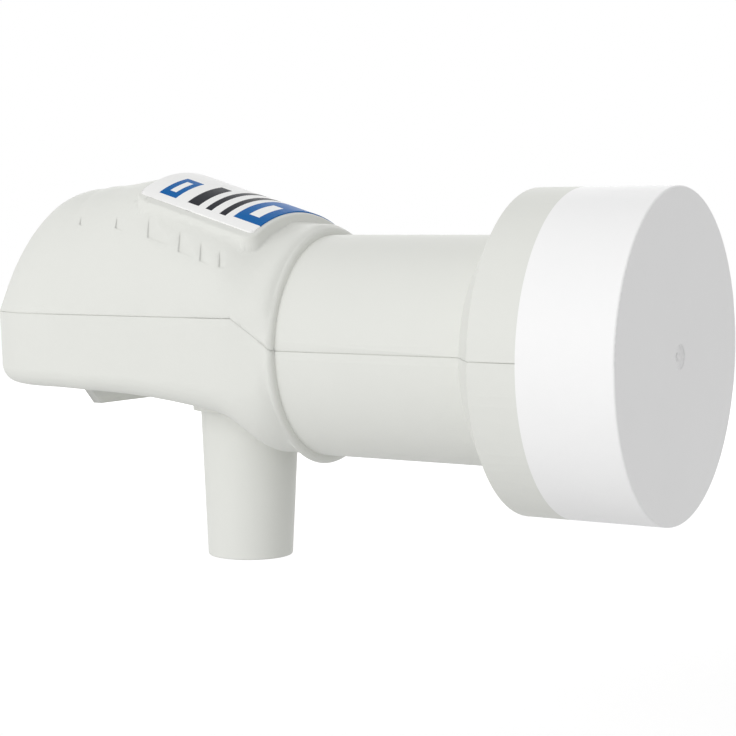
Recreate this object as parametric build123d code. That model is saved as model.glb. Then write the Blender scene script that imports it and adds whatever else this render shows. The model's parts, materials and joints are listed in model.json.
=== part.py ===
from build123d import *
from math import asin, atan2, cos, degrees, radians, sin, sqrt, tan
import os
from scipy.interpolate import PchipInterpolator

# Satellite LNB with a round clamp neck, in millimetres.
# X is the feed axis and points out of the feed cap, Z is up.
# The origin lies on the feed axis at the middle of the clamp neck.

# Clamp neck, collar and feed cap
NECK_DIAMETER = 40.0
NECK_LENGTH = 35.5
SHOULDER_LENGTH = 5.5
HEAD_DIAMETER = 56.0
COLLAR_LENGTH = 8.4
CAP_LENGTH = 16.6
CAP_WALL = 1.4
CAP_FACE = 1.6
CAP_EDGE = 0.4
GATE_DIAMETER = 4.2
GATE_DEPTH = 0.5
GATE_DRAFT = 0.2
GATE_STUB_DIAMETER = 1.4
GATE_STUB_HEIGHT = 0.25

# Rear body, set out backwards from the root ring behind the neck
SHELL_WALL = 1.8
ROOT_STEP = 1.5
ROOT_EDGE = 1.1
NOSE_TURN = 20.0
BODY_LENGTH = 71.5
BODY_WIDTH = 46.0
BODY_DEPTH = 8.2
FLOOR_CORNER = 3.5
FLOOR_DRAFT = 0.5
SEAM_HEIGHT = 5.5
SEAM_RAMP = 7.6
SEAM_GAP = 0.16
SEAM_DEPTH = 0.3

# Roof at the upright axis of the round rear end: crown over the seam, fullness from 2 for an
# ellipse towards a box, and the share of the half-width lost to the lean of the wall
REAR_CROWN = 23.4
REAR_FULLNESS = 2.85
REAR_LEAN = 0.33

# Cross sections between the root ring and the rear axis: share of the way from ring to axis,
# narrowing of each flank, crown, fullness, lean, depth under the feed axis and floor corner
BODY_SECTIONS = (
    (0.13, 0.8, 16.9, 1.95, 0.0, 16.7, 10.0),
    (0.22, 0.2, 18.7, 2.25, 0.0, 12.4, 6.0),
    (0.42, 0.0, 21.6, 2.6, 0.05, 10.1, 4.5),
    (0.67, 0.0, 25.0, 3.0, 0.17, 8.8, 3.8),
    (0.88, 0.0, 24.0, 2.95, 0.28, 8.4, 3.5),
)
RING_FULLNESS = 1.75
RING_CORNER = 18.0
BODY_STATIONS = 12
STATION_EASE = 1.4
ROOF_STEPS = 6

# Turns round the root ring that meet the wall, corner and floor of the lower sections
RING_CORNER_TURN = -25.0
RING_FLOOR_TURN = -58.0

# Label pad on the roof, crowned across and falling to the front, and the label on it
PAD_LENGTH = 26.0
PAD_WIDTH = 34.4
PAD_LEAD = 6.45
PAD_RIDGE = 26.2
PAD_CROWN = 4.75
PAD_FALL = 0.303
PAD_CORNER = 2.5
PAD_EDGE = 0.5
LABEL_END_MARGIN = 0.8
LABEL_SIDE_MARGIN = 1.4
LABEL_THICKNESS = 0.2
LABEL_CORNER = 0.8

# Wedge notches along each flank: setback and height over the seam of the foot, length of the
# foot and rise of the upright edge
GRIP_NOTCHES = (
    (45.9, 16.4, 1.3, 1.4),
    (35.6, 15.7, 2.7, 2.2),
    (27.2, 14.0, 5.5, 3.4),
    (19.9, 11.5, 3.2, 3.8),
    (15.0, 9.9, 2.1, 3.5),
    (11.0, 8.9, 1.1, 2.9),
)
GRIP_DEPTH = 0.4
GRIP_FALL = 0.27
GRIP_RAKE = 0.28

# Drip rib across the underside
DRIP_RIB_SETBACK = 46.0
DRIP_RIB_DROP = 3.6
DRIP_RIB_THICKNESS = 1.8
DRIP_RIB_WIDTH = 21.0

# Weather sleeve round the aerial socket, and its guide in the lower shell
SLEEVE_SETBACK = 18.35
SLEEVE_DROP = 39.7
SLEEVE_TIP_DIAMETER = 15.8
SLEEVE_TAPER = 0.0466
SLEEVE_WALL = 1.15
SLEEVE_FLANGE = 0.8
SLEEVE_FLANGE_HEIGHT = 1.6
SLEEVE_TIP_EDGE = 0.35
GUIDE_DROP = 12.4
GUIDE_WALL = 1.0
GUIDE_LEDGE = 2.8
GUIDE_HEIGHT = 8.4
GUIDE_CLEARANCE = 0.3
STOP_CLEARANCE = 0.1

# Die-cast feed: waveguide, ringed horn and board tray
FEED_ROOM = 9.45
CAST_WALL = 1.5
SHORT_THICKNESS = 2.0
SHORT_GAP = 0.6
FLARE_LENGTH = 28.0
FLARE_MOUTH = 24.4
HORN_GROOVES = 2
HORN_GROOVE_DEPTH = 8.0
HORN_WALL = 1.4
HORN_SKIRT = 10.0
HORN_CLEARANCE = 0.2
CAP_GAP = 0.6
SEAL_SECTION = 1.1
SEAL_SETBACK = 4.0
SEAL_ROOM = 0.06
TRAY_DEPTH = 4.3
TRAY_SIDE_ROOM = 7.5
TRAY_REAR_ROOM = 9.25
TRAY_CORNER = 11.0
TONGUE_WIDTH = 14.0
TONGUE_LENGTH = 14.75
TRAY_TAPER = 15.0
TRAY_NECKING = 4.75
POST_RADIUS = 2.1
POST_LEADS = (4.0, -4.0)
BOARD_SEAT = 0.25

# Cover, gasket and screws of the tray
GASKET_THICKNESS = 0.3
COVER_THICKNESS = 1.0
COVER_RIB = 1.2
SCREW_RADIUS = 1.0
SCREW_LENGTH = 4.0
SCREW_HEAD_RADIUS = 1.9
SCREW_HEAD_HEIGHT = 1.3
SCREW_CLEARANCE = 0.05

# Circuit board and the parts on it
BOARD_THICKNESS = 0.8
BOARD_CLEARANCE = 0.3
CHIP_SIZE = (5.0, 5.0, 0.9)
CRYSTAL_SIZE = (3.2, 2.5, 0.8)
REGULATOR_SIZE = (6.5, 6.1, 2.3)
TRANSISTOR_SIZE = (2.0, 1.3, 0.8)
CAPACITOR_SIZE = (2.0, 1.25, 0.9)
ABSORBER_SIZE = (15.0, 16.0, 1.2)

# Waveguide probes
PROBE_RADIUS = 0.45
PROBE_REACH = 5.2
PROBE_BEND = 1.2
PROBE_STUB = 0.6
REAR_PROBE_SHIFT = 5.5
REAR_PROBE_LEAD = 4.0
REAR_PROBE_LEG = 1.2
ISOLATION_LEAD = 7.8
ISOLATION_RADIUS = 0.8
FRONT_PROBE_LEAD = 11.5
BEAD_RADIUS = 1.9
FIT = 0.03

# Aerial socket
SOCKET_TIP = 34.0
THREAD_RADIUS = 4.76
THREAD_LENGTH = 11.8
THREAD_CHAMFER = 0.5
SOCKET_BORE = 3.3
SOCKET_NUT_FLATS = 11.0
SOCKET_NUT_HEIGHT = 2.5
SOCKET_SPIGOT_RADIUS = 4.6
SOCKET_SPIGOT_LENGTH = 6.0
SOCKET_RELIEF_RADIUS = 4.1
SOCKET_RELIEF_LENGTH = 1.7
BOSS_RADIUS = 6.3
CONTACT_RADIUS = 0.9
CONTACT_HOLE_RADIUS = 0.55
CONTACT_HOLE_DEPTH = 8.0
CONTACT_RECESS = 1.0

# Ribs that hold the casting inside the shells
RIB_THICKNESS = 1.6
NECK_RIBS = (2.0, 13.0)
POST_SETBACKS = (41.0, 53.0)
POST_SPREAD = 10.0
ROOF_RIB_SETBACKS = (31.0, 50.0)
ROOF_RIB_WIDTH = 20.0

# Places that follow from the sizes above
NECK_RADIUS = NECK_DIAMETER / 2
HEAD_RADIUS = HEAD_DIAMETER / 2
ROOT_X = -NECK_LENGTH / 2
COLLAR_X = NECK_LENGTH / 2 + SHOULDER_LENGTH
CAP_X = COLLAR_X + COLLAR_LENGTH
FRONT_X = CAP_X + CAP_LENGTH
NOSE_LENGTH = ROOT_EDGE * (1 - sin(radians(NOSE_TURN)))
REAR_AXIS_X = ROOT_X - BODY_LENGTH + BODY_WIDTH / 2
SLEEVE_X = ROOT_X - SLEEVE_SETBACK
REACH = 2 * (BODY_LENGTH + NECK_LENGTH + HEAD_DIAMETER)

LEDGE_Z = GUIDE_LEDGE - GUIDE_DROP
GUIDE_BORE = SLEEVE_TIP_DIAMETER / 2 + SLEEVE_TAPER * (SLEEVE_DROP + LEDGE_Z) + GUIDE_CLEARANCE
FLANGE_RADIUS = GUIDE_BORE + SLEEVE_FLANGE
GUIDE_POCKET = FLANGE_RADIUS + GUIDE_CLEARANCE

WAVEGUIDE_RADIUS = NECK_RADIUS - SHELL_WALL - FEED_ROOM
TUBE_RADIUS = WAVEGUIDE_RADIUS + CAST_WALL
SHORT_BACK_X = SLEEVE_X + GUIDE_POCKET + GUIDE_WALL + SHORT_GAP
SHORT_X = SHORT_BACK_X + SHORT_THICKNESS
HORN_FRONT_X = FRONT_X - CAP_FACE - CAP_GAP
HORN_BACK_X = HORN_FRONT_X - HORN_GROOVE_DEPTH - HORN_WALL
HORN_RADIUS = HEAD_RADIUS - SHELL_WALL - HORN_CLEARANCE
FLOOR_Z = TUBE_RADIUS + BOARD_SEAT
FLOOR_UNDER_Z = FLOOR_Z - CAST_WALL
RIM_Z = FLOOR_Z + TRAY_DEPTH
COVER_Z = RIM_Z + GASKET_THICKNESS
COVER_TOP_Z = COVER_Z + COVER_THICKNESS
BOARD_TOP_Z = FLOOR_Z + BOARD_THICKNESS
TRAY_HALF = BODY_WIDTH / 2 - TRAY_SIDE_ROOM
TRAY_REAR_X = ROOT_X - BODY_LENGTH + TRAY_REAR_ROOM
TONGUE_X = ROOT_X + TONGUE_LENGTH
NECKING_X = ROOT_X - TRAY_NECKING
FRONT_PROBE_X = SHORT_X + FRONT_PROBE_LEAD
ISOLATION_X = SHORT_X + ISOLATION_LEAD
REAR_PROBE_X = SHORT_X + REAR_PROBE_LEAD
REAR_LEG_X = SHORT_BACK_X - REAR_PROBE_LEG
NUT_TOP_Z = -SOCKET_TIP + THREAD_LENGTH + SOCKET_RELIEF_LENGTH + SOCKET_NUT_HEIGHT
SCREW_PLACES = [
    (TRAY_REAR_X + CAST_WALL + POST_RADIUS / 2, 0),
    (TONGUE_X - CAST_WALL - POST_RADIUS / 2, 0),
]
for screw_x in (REAR_AXIS_X + POST_LEADS[0], SLEEVE_X + POST_LEADS[1]):
    for side in (-1, 1):
        SCREW_PLACES.append((screw_x, side * (TRAY_HALF - CAST_WALL - POST_RADIUS / 2)))


def turned_about_feed(outline):
    """Turn a closed outline of (x, radius) points about the feed axis."""
    return revolve(Plane.XZ * make_face(Polyline(*outline, close=True)), Axis.X)


def turned_about_socket(outline):
    """Turn a closed outline of (radius, z) points about the aerial socket's axis."""
    profile = Plane.XZ * make_face(Polyline(*outline, close=True))
    return Pos(SLEEVE_X, 0, 0) * revolve(profile, Axis.Z)


def post(x, y, radius, bottom, top):
    """An upright cylinder between two heights."""
    return Pos(x, y, (bottom + top) / 2) * Cylinder(radius, top - bottom)


def on_board(x, y, size):
    """A chip standing on the circuit board."""
    return Pos(x, y, BOARD_TOP_Z + size[2] / 2) * Box(*size)


def section_plane(x):
    """The cross plane of the body at x, with its origin at seam height."""
    return Plane(origin=(x, 0, SEAM_HEIGHT), x_dir=(0, 1, 0), z_dir=(1, 0, 0))


def roof_curve(half, crown, fullness, lean):
    """Right flank of the roof as a full oval that leans in, from the seam up to the ridge."""
    points = []
    for step in range(ROOF_STEPS + 1):
        turn = radians(90 * step / ROOF_STEPS)
        up = sin(turn) ** (2 / fullness)
        across = max(cos(turn), 0) ** (2 / fullness) * (1 - lean * up)
        points.append((half * across, crown * up))
    return Spline(*points, tangents=((-lean * half, crown), (-1, 0)))


def floor_curve(half, depth, corner):
    """Right half of the floor, from the seam down a drafted wall and round the corner."""
    bottom = -SEAM_HEIGHT - depth
    foot = half - FLOOR_DRAFT
    wall = make_face(Polyline((0, 0), (half, 0), (foot, bottom), (0, bottom), close=True))
    rounded = fillet(wall.vertices().sort_by_distance((foot, bottom))[0], corner)
    return [edge for edge in rounded.edges() if edge.center().X > 0 and edge.center().Y < 0]


def both_sides(edges):
    """A closed face from edges on the right and their mirror images."""
    return make_face([*edges, *(mirror(edge, Plane.YZ) for edge in edges)])


def body_section(x, narrowing, crown, fullness, lean, depth, corner, grow):
    """Closed cross section of the body, grown outwards or shrunk inwards."""
    half = BODY_WIDTH / 2 - narrowing + grow
    roof = roof_curve(half, crown + grow, fullness, lean)
    return section_plane(x) * both_sides([roof, *floor_curve(half, depth + grow, corner + grow)])


def ring_section(grow):
    """Round section where the body meets the neck."""
    radius = NECK_RADIUS + ROOT_STEP + grow
    seam_turn = degrees(asin(SEAM_HEIGHT / radius))
    turns = (90, seam_turn, RING_CORNER_TURN, RING_FLOOR_TURN, -90)
    arcs = [CenterArc((0, -SEAM_HEIGHT), radius, a, b - a) for a, b in zip(turns, turns[1:])]
    return section_plane(ROOT_X - NOSE_LENGTH + grow) * both_sides(arcs)


def body_stations():
    """Places and sizes of closely set sections, on smooth curves that never overshoot the given ones."""
    ring = NECK_RADIUS + ROOT_STEP
    ring_narrowing = BODY_WIDTH / 2 - sqrt(ring ** 2 - SEAM_HEIGHT ** 2)
    rows = [
        (0, ring_narrowing, ring - SEAM_HEIGHT, RING_FULLNESS, 0, ring, RING_CORNER),
        *BODY_SECTIONS,
        (1, 0, REAR_CROWN, REAR_FULLNESS, REAR_LEAN, BODY_DEPTH, FLOOR_CORNER),
    ]
    # Behind the rear axis the rows go on as in a mirror, so the curves run level into the rear end
    place, *sizes = rows[-2]
    rows.append((2 - place, *sizes))
    curves = PchipInterpolator([row[0] for row in rows], [row[1:] for row in rows])
    shares = [(step / BODY_STATIONS) ** STATION_EASE for step in range(BODY_STATIONS, 1, -1)]
    return [(ROOT_X + share * (REAR_AXIS_X - ROOT_X), *curves(share)) for share in shares]


def body(grow):
    """Body between the rear axis and the root ring, closed by a round rear end."""
    sections = [body_section(x, *sizes, grow) for x, *sizes in body_stations()]
    trunk = loft([*sections, ring_section(grow)])
    half_section = split(sections[0], Plane.XZ, keep=Keep.BOTTOM)
    return trunk + revolve(half_section, Axis((REAR_AXIS_X, 0, 0), (0, 0, 1)), 180)


def neck(grow, front_x):
    """Neck, conical shoulder and collar, from inside the body to front_x."""
    cone = atan2(HEAD_RADIUS - NECK_RADIUS, SHOULDER_LENGTH)
    shift = -grow * tan(cone / 2)
    back_x = NECKING_X
    return turned_about_feed([
        (back_x, 0),
        (back_x, NECK_RADIUS + grow),
        (NECK_LENGTH / 2 + shift, NECK_RADIUS + grow),
        (COLLAR_X + shift, HEAD_RADIUS + grow),
        (front_x, HEAD_RADIUS + grow),
        (front_x, 0),
    ])


def hull(grow, front_x=CAP_X):
    """The whole outside of the two shells, grown outwards or shrunk inwards."""
    return body(grow) + neck(grow, front_x)


def root_nose(grow):
    """Rounded front edge of the root ring."""
    back_x = ROOT_X - NOSE_LENGTH + grow
    radius = ROOT_EDGE + grow
    centre = (ROOT_X - ROOT_EDGE, NECK_RADIUS + ROOT_STEP - ROOT_EDGE * cos(radians(NOSE_TURN)))
    edge = CenterArc(centre, radius, 90 - NOSE_TURN, NOSE_TURN - 90)
    rest = Polyline(edge @ 1, (ROOT_X + grow, 0), (back_x, 0), (back_x, (edge @ 0).Y), edge @ 0)
    return revolve(Plane.XZ * make_face([edge, rest]), Axis.X)


def above_seam(lift):
    """Everything above the parting line, moved up by lift."""
    outline = Polyline(
        (-REACH, SEAM_HEIGHT + lift),
        (ROOT_X - SEAM_RAMP, SEAM_HEIGHT + lift),
        (ROOT_X, lift),
        (REACH, lift),
        (REACH, REACH),
        (-REACH, REACH),
        close=True,
    )
    return extrude(Plane.XZ * make_face(outline), REACH, both=True)


def over_pad(length, width, corner):
    """Upright prism over the label pad, centred on it."""
    centre_x = ROOT_X - PAD_LEAD - PAD_LENGTH / 2
    return Pos(centre_x, 0, SEAM_HEIGHT) * extrude(RectangleRounded(length, width, corner), REACH)


def under_pad_top(rise):
    """Everything under the pad's crowned top, raised by rise, from behind the pad to before it."""
    back = PAD_CORNER
    ridge = PAD_RIDGE + PAD_FALL * back + rise
    half = PAD_WIDTH / 2
    top = ThreePointArc((-half, ridge - PAD_CROWN), (0, ridge), (half, ridge - PAD_CROWN))
    base = Polyline((half, ridge - PAD_CROWN), (half, -REACH), (-half, -REACH), (-half, ridge - PAD_CROWN))
    profile = section_plane(ROOT_X - PAD_LEAD - PAD_LENGTH - back) * make_face([top, base])
    return extrude(profile, PAD_LENGTH + 2 * back, dir=(1, 0, -PAD_FALL))


OUTSIDE = hull(0) + root_nose(0)
INSIDE = hull(-SHELL_WALL, CAP_X + SHELL_WALL)
UNDER_SEAM = hull(-SEAM_DEPTH) + root_nose(-SEAM_DEPTH)
SEAM_LINE = above_seam(-SEAM_GAP / 2) - above_seam(SEAM_GAP / 2) - UNDER_SEAM


def shell_walls():
    """Both shells before they are parted: walls and the rings that carry the waveguide."""
    disc = Cylinder(NECK_RADIUS - SHELL_WALL / 2, RIB_THICKNESS)
    ring = disc - Cylinder(TUBE_RADIUS + FIT, RIB_THICKNESS)
    ribs = [Pos(x, 0, 0) * Rot(0, 90, 0) * ring for x in NECK_RIBS]
    return OUTSIDE - INSIDE + ribs


WALLS = shell_walls() - SEAM_LINE


def on_flank(setback, height):
    """Point on the near flank, with the way out of the wall there."""
    inward = Axis((ROOT_X - setback, -BODY_WIDTH, SEAM_HEIGHT + height), (0, 1, 0))
    return OUTSIDE.find_intersection_points(inward)[0]


def grip_notches():
    """Shallow pockets on both flanks, deepest at their rear foot and running out forwards and upwards."""
    wedges = []
    for setback, height, length, rise in GRIP_NOTCHES:
        point, outward = on_flank(setback, height)
        foot = point - outward * GRIP_DEPTH
        forwards = (on_flank(setback - length, height - GRIP_FALL * length)[0] - foot) * 2
        upwards = (on_flank(setback + GRIP_RAKE * rise, height + rise)[0] - foot) * 2
        corners = (foot, foot + forwards, foot + forwards + upwards, foot + upwards)
        wedge = extrude(make_face(Polyline(*corners, close=True)), SHELL_WALL, dir=outward)
        wedges += [wedge, mirror(wedge, Plane.XZ)]
    return wedges


def upper_shell():
    """Upper half of the housing with the label pad and the ribs that press on the tray cover."""
    pad = under_pad_top(0) & over_pad(PAD_LENGTH, PAD_WIDTH, PAD_CORNER)
    pad = fillet(pad.faces().sort_by(Axis.Z)[-1].edges(), PAD_EDGE)
    ribs = [
        Pos(ROOT_X - setback, 0, COVER_TOP_Z + REACH / 2) * Box(RIB_THICKNESS, ROOF_RIB_WIDTH, REACH)
        for setback in ROOF_RIB_SETBACKS
    ]
    ribs = [rib & INSIDE for rib in ribs]
    return (WALLS & above_seam(0)) + (pad - INSIDE) + ribs - grip_notches()


def drip_rib():
    """Flat-bottomed rib across the underside, with ends at 45 degrees."""
    bottom = -BODY_DEPTH - DRIP_RIB_DROP
    half = DRIP_RIB_WIDTH / 2
    rise = DRIP_RIB_DROP + SHELL_WALL / 2
    left = [(-half - rise, bottom + rise), (-half, bottom)]
    right = [(-y, z) for y, z in reversed(left)]
    outline = Polyline(*left, *right, close=True)
    rib = extrude(Plane.YZ * make_face(outline), DRIP_RIB_THICKNESS / 2, both=True)
    return Pos(ROOT_X - DRIP_RIB_SETBACK, 0, 0) * rib


def lower_shell():
    """Lower half of the housing with the sleeve guide, the tray posts and the drip rib."""
    guide = post(SLEEVE_X, 0, GUIDE_POCKET + GUIDE_WALL, LEDGE_Z - GUIDE_WALL, GUIDE_HEIGHT - GUIDE_DROP)
    collar = post(SLEEVE_X, 0, GUIDE_BORE + GUIDE_WALL, -GUIDE_DROP, LEDGE_Z)
    bore = post(SLEEVE_X, 0, GUIDE_BORE, -SLEEVE_DROP, LEDGE_Z)
    pocket = post(SLEEVE_X, 0, GUIDE_POCKET, LEDGE_Z, SEAM_HEIGHT)
    posts = [
        post(ROOT_X - setback, side * POST_SPREAD, POST_RADIUS, -BODY_DEPTH + SHELL_WALL / 2, FLOOR_UNDER_Z)
        for setback in POST_SETBACKS
        for side in (-1, 1)
    ]
    inner_guide = guide & OUTSIDE
    return (WALLS - above_seam(0)) + inner_guide + collar + drip_rib() + posts - bore - pocket


def label():
    """Printed label, lying on the pad."""
    length = PAD_LENGTH - 2 * LABEL_END_MARGIN
    width = PAD_WIDTH - 2 * LABEL_SIDE_MARGIN
    film = under_pad_top(LABEL_THICKNESS) - under_pad_top(0)
    return film & over_pad(length, width, LABEL_CORNER)


def horn_cap():
    """White cap over the horn, with the recess of its moulding gate in the face."""
    inner = HEAD_RADIUS - CAP_WALL
    cup = turned_about_feed([
        (CAP_X, inner),
        (CAP_X, HEAD_RADIUS),
        (FRONT_X, HEAD_RADIUS),
        (FRONT_X, 0),
        (FRONT_X - CAP_FACE, 0),
        (FRONT_X - CAP_FACE, inner),
    ])
    cup = fillet(cup.edges().filter_by(GeomType.CIRCLE).sort_by(Axis.X)[-1], CAP_EDGE)
    recess_x = FRONT_X - GATE_DEPTH
    stub_x = recess_x + GATE_STUB_HEIGHT
    return cup - turned_about_feed([
        (FRONT_X, 0),
        (FRONT_X, GATE_DIAMETER / 2),
        (recess_x, GATE_DIAMETER / 2 - GATE_DRAFT),
        (recess_x, GATE_STUB_DIAMETER / 2),
        (stub_x, GATE_STUB_DIAMETER / 2),
        (stub_x, 0),
    ])


def seal_x():
    """Middle of the cap seal along the feed axis."""
    return CAP_X + SEAL_SETBACK


def cap_seal():
    """Round seal between the horn's rim and the cap."""
    middle = HEAD_RADIUS - CAP_WALL - SEAL_SECTION / 2 - FIT
    return Pos(seal_x(), 0, 0) * Rot(0, 90, 0) * Torus(middle, SEAL_SECTION / 2)


def horn_outline():
    """Waveguide, flare and ringed horn in one outline, from the short round to the bore."""
    mouth = FLARE_MOUTH / 2
    flare_x = HORN_FRONT_X - FLARE_LENGTH
    flare_slope = (mouth - WAVEGUIDE_RADIUS) / FLARE_LENGTH
    back_radius = mouth - flare_slope * (HORN_FRONT_X - HORN_BACK_X) + CAST_WALL
    pitch = (HORN_RADIUS - mouth - HORN_WALL) / HORN_GROOVES
    groove_x = HORN_FRONT_X - HORN_GROOVE_DEPTH
    outline = [
        (SHORT_BACK_X, 0),
        (SHORT_BACK_X, TUBE_RADIUS),
        (flare_x, TUBE_RADIUS),
        (HORN_BACK_X, back_radius),
        (HORN_BACK_X, HORN_RADIUS - HORN_WALL),
        (HORN_BACK_X - HORN_SKIRT, HORN_RADIUS - HORN_WALL),
        (HORN_BACK_X - HORN_SKIRT, HORN_RADIUS),
        (HORN_FRONT_X, HORN_RADIUS),
    ]
    for ring in range(HORN_GROOVES):
        wall = HORN_RADIUS - ring * pitch - HORN_WALL
        outline += [
            (HORN_FRONT_X, wall),
            (groove_x, wall),
            (groove_x, wall - pitch + HORN_WALL),
            (HORN_FRONT_X, wall - pitch + HORN_WALL),
        ]
    outline += [
        (HORN_FRONT_X, mouth),
        (flare_x, WAVEGUIDE_RADIUS),
        (SHORT_X, WAVEGUIDE_RADIUS),
        (SHORT_X, 0),
    ]
    return outline


def tray_plan(inset):
    """Plan of the board tray: a wide rear part with a narrow tongue over the waveguide."""
    tongue = TONGUE_WIDTH / 2
    near = [
        (TONGUE_X, tongue),
        (NECKING_X, tongue),
        (NECKING_X - TRAY_TAPER, TRAY_HALF),
        (TRAY_REAR_X, TRAY_HALF),
    ]
    far = [(x, -y) for x, y in reversed(near)]
    plan = make_face(Polyline(*near, *far, close=True))
    plan = fillet(plan.vertices().group_by(Axis.X)[0], TRAY_CORNER)
    return offset(plan, -inset, kind=Kind.INTERSECTION) if inset else plan


def slab(plan, bottom, top):
    """A flat plan raised between two heights."""
    return Pos(0, 0, bottom) * extrude(plan, top - bottom)


def cast_housing():
    """One casting: waveguide with its short, ringed horn, board tray and socket boss."""
    tray = slab(tray_plan(0), FLOOR_UNDER_Z, RIM_Z) - slab(tray_plan(CAST_WALL), FLOOR_Z, RIM_Z)
    boss = post(SLEEVE_X, 0, BOSS_RADIUS, NUT_TOP_Z, FLOOR_UNDER_Z)
    posts = [post(x, y, POST_RADIUS, FLOOR_Z, RIM_Z) for x, y in SCREW_PLACES]
    screw_tip = COVER_TOP_Z - SCREW_LENGTH - 2 * SCREW_CLEARANCE
    screw_holes = [
        post(x, y, SCREW_RADIUS + SCREW_CLEARANCE, screw_tip, COVER_TOP_Z)
        for x, y in SCREW_PLACES
    ]
    seal_width = SEAL_SECTION + 2 * SEAL_ROOM
    seal_groove = Pos(seal_x(), 0, 0) * Rot(0, 90, 0) * (
        Cylinder(HORN_RADIUS + SEAL_SECTION, seal_width)
        - Cylinder(HEAD_RADIUS - CAP_WALL - SEAL_SECTION - SEAL_ROOM, seal_width)
    )
    rear_bead_hole = Cylinder(BEAD_RADIUS, SHORT_THICKNESS + 2 * SHORT_GAP)
    rear_bead_hole = Pos((SHORT_BACK_X + SHORT_X) / 2, REAR_PROBE_SHIFT, 0) * Rot(0, 90, 0) * rear_bead_hole
    holes = [
        post(SLEEVE_X, 0, SOCKET_BORE, NUT_TOP_Z, FLOOR_Z),
        post(SLEEVE_X, 0, SOCKET_SPIGOT_RADIUS + FIT, NUT_TOP_Z, NUT_TOP_Z + SOCKET_SPIGOT_LENGTH + FIT),
        post(FRONT_PROBE_X, 0, BEAD_RADIUS, 0, FLOOR_Z),
        post(REAR_LEG_X, REAR_PROBE_SHIFT, 2 * PROBE_RADIUS, FLOOR_UNDER_Z - FIT, FLOOR_Z),
        post(ISOLATION_X, 0, ISOLATION_RADIUS + FIT, -TUBE_RADIUS - FIT, TUBE_RADIUS),
        rear_bead_hole,
        seal_groove,
    ]
    feed = turned_about_feed(horn_outline())
    return feed + tray + boss + posts - holes - screw_holes


def chamber_cover():
    """Screening cover of the tray, with cross ribs that press on the board."""
    plate = slab(tray_plan(0), COVER_Z, COVER_TOP_Z)
    inside = slab(tray_plan(CAST_WALL + BOARD_CLEARANCE), BOARD_TOP_Z, COVER_Z)
    ribs = [
        Pos(x, 0, (BOARD_TOP_Z + COVER_Z) / 2) * Box(COVER_RIB, BODY_WIDTH, COVER_Z - BOARD_TOP_Z)
        for x in cover_rib_places()
    ]
    holes = [post(x, y, SCREW_RADIUS + SCREW_CLEARANCE, COVER_Z, COVER_TOP_Z) for x, y in SCREW_PLACES]
    return plate + [rib & inside for rib in ribs] - holes


def cover_rib_places():
    """Cross ribs that part the radio side, the converter and the supply."""
    return ((SLEEVE_X + SHORT_BACK_X) / 2, (SLEEVE_X + REAR_AXIS_X) / 2)


def cover_gasket():
    """Flat gasket on the tray's rim."""
    return slab(tray_plan(0) - tray_plan(CAST_WALL), RIM_Z, COVER_Z)


def cover_screws():
    """Pan-head screws that hold the cover down."""
    return [
        post(x, y, SCREW_RADIUS, COVER_TOP_Z - SCREW_LENGTH, COVER_TOP_Z)
        + post(x, y, SCREW_HEAD_RADIUS, COVER_TOP_Z, COVER_TOP_Z + SCREW_HEAD_HEIGHT)
        for x, y in SCREW_PLACES
    ]


def circuit_board():
    """Board on the tray floor, cleared round the posts, probes and contact."""
    board = slab(tray_plan(CAST_WALL + BOARD_CLEARANCE), FLOOR_Z, BOARD_TOP_Z)
    holes = [post(x, y, POST_RADIUS + BOARD_CLEARANCE, FLOOR_Z, BOARD_TOP_Z) for x, y in SCREW_PLACES]
    holes += [
        post(SLEEVE_X, 0, CONTACT_RADIUS + FIT, FLOOR_Z, BOARD_TOP_Z),
        post(FRONT_PROBE_X, 0, PROBE_RADIUS + FIT, FLOOR_Z, BOARD_TOP_Z),
        post(REAR_LEG_X, REAR_PROBE_SHIFT, PROBE_RADIUS + FIT, FLOOR_Z, BOARD_TOP_Z),
    ]
    return board - holes


def front_probe():
    """Straight probe for vertical waves, from the board down into the waveguide."""
    return post(FRONT_PROBE_X, 0, PROBE_RADIUS, WAVEGUIDE_RADIUS - PROBE_REACH, BOARD_TOP_Z + PROBE_STUB)


def front_probe_bead():
    """Insulating bead that holds the straight probe in the waveguide's wall."""
    bottom = WAVEGUIDE_RADIUS - BOARD_SEAT
    bead = post(FRONT_PROBE_X, 0, BEAD_RADIUS - FIT, bottom, FLOOR_Z)
    return bead - post(FRONT_PROBE_X, 0, PROBE_RADIUS + FIT, bottom, FLOOR_Z)


def rear_probe():
    """Bent probe for level waves: down behind the short, through it and across."""
    route = FilletPolyline(
        (REAR_LEG_X, REAR_PROBE_SHIFT, BOARD_TOP_Z + PROBE_STUB),
        (REAR_LEG_X, REAR_PROBE_SHIFT, 0),
        (REAR_PROBE_X, REAR_PROBE_SHIFT, 0),
        (REAR_PROBE_X, REAR_PROBE_SHIFT - PROBE_REACH, 0),
        radius=PROBE_BEND,
    )
    return sweep(Plane(route @ 0, z_dir=route % 0) * Circle(PROBE_RADIUS), route)


def rear_probe_bead():
    """Insulating bead that holds the bent probe in the short."""
    bead = Cylinder(BEAD_RADIUS - FIT, SHORT_THICKNESS)
    bead -= Cylinder(PROBE_RADIUS + FIT, SHORT_THICKNESS)
    return Pos((SHORT_BACK_X + SHORT_X) / 2, REAR_PROBE_SHIFT, 0) * Rot(0, 90, 0) * bead


def isolation_pin():
    """Upright pin across the waveguide between the two probes."""
    return post(ISOLATION_X, 0, ISOLATION_RADIUS, -TUBE_RADIUS, TUBE_RADIUS - FIT)


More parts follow.
